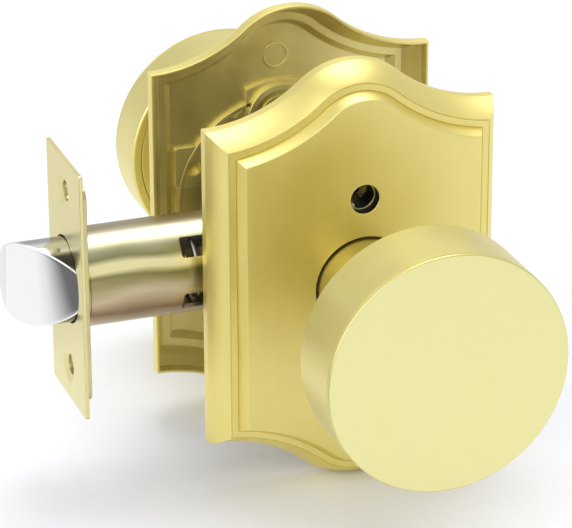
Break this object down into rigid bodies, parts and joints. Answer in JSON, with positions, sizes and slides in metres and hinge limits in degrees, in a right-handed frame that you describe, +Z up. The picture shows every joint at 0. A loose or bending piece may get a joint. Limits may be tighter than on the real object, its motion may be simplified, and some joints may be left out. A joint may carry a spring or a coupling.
{
  "type": "door knob",
  "caption": "Privacy door knob set with drum knobs on arched stepped rosettes, a sprung tubular latch, a push button and an emergency release hole.",
  "frame": {"origin": "crossing of the spindle axis with the door's middle plane", "axes": "+Y along the spindle towards the inside knob, -X towards the door edge and the bolt, +Z up"},
  "size_m": [0.106, 0.1474, 0.0978],
  "materials": {
    "satin_brass": "satin",
    "yellow_zinc": "satin",
    "chrome": "polished",
    "nylon": "matte",
    "spring_steel": "satin",
    "zinc_steel": "satin"
  },
  "bodies": {
    "chassis": {"outside_rosette": "satin_brass", "inside_rosette": "satin_brass", "latch_faceplate": "satin_brass", "button_guide": "satin_brass", "through_bolts": "satin_brass", "latch_tube": "yellow_zinc", "latch_back_plate": "yellow_zinc", "latch_end_disc": "yellow_zinc", "latch_case_outer": "yellow_zinc", "latch_case_inner": "yellow_zinc", "outside_cover_plate": "yellow_zinc", "inside_cover_plate": "yellow_zinc", "outside_neck_bush": "nylon", "inside_neck_bush": "nylon", "outside_return_spring": "spring_steel", "inside_return_spring": "spring_steel", "bolt_spring": "spring_steel", "detent_clip": "spring_steel", "outside_plate_screws": "zinc_steel", "inside_plate_screws": "zinc_steel", "threaded_posts": "zinc_steel", "release_guide": "zinc_steel", "latch_case_rivets": "zinc_steel"},
    "knobs": {"outside_knob": "satin_brass", "outside_knob_back": "satin_brass", "outside_knob_neck": "satin_brass", "outside_retaining_ring": "zinc_steel", "outside_cam_plate": "zinc_steel", "inside_knob": "satin_brass", "inside_knob_back": "satin_brass", "inside_knob_neck": "satin_brass", "inside_retaining_ring": "zinc_steel", "inside_cam_plate": "zinc_steel", "inside_grub_screw": "zinc_steel", "spindle": "zinc_steel", "latch_hub": "zinc_steel"},
    "retractor": {"latch_retractor": "zinc_steel"},
    "bolt": {"latch_bolt": "chrome", "bolt_tail": "zinc_steel"},
    "privacy": {"privacy_button": "satin_brass", "privacy_rod": "zinc_steel", "lock_tongue": "zinc_steel"}
  },
  "joints": [
    {"name": "knob_turn", "type": "hinge", "parent": "chassis", "child": "knobs", "pos_m": [0, 0, 0], "axis": [0, 1, 0], "range_deg": [0, 76], "stiffness_Nm_per_rad": 0.12, "deforming": ["outside_return_spring", "inside_return_spring"]},
    {"name": "retractor_slide", "type": "slide", "parent": "chassis", "child": "retractor", "axis": [1, 0, 0], "range_m": [0, 0.0127]},
    {"name": "bolt_push", "type": "slide", "parent": "retractor", "child": "bolt", "axis": [1, 0, 0], "range_m": [0, 0.0127], "stiffness_N_per_m": 350, "deforming": ["bolt_spring"]},
    {"name": "privacy_press", "type": "slide", "parent": "chassis", "child": "privacy", "axis": [0, -1, 0], "range_m": [0, 0.003]}
  ],
  "couplings": [
    {"joint": "retractor_slide", "follows": "knob_turn", "m_per_rad": 0.009574}
  ]
}
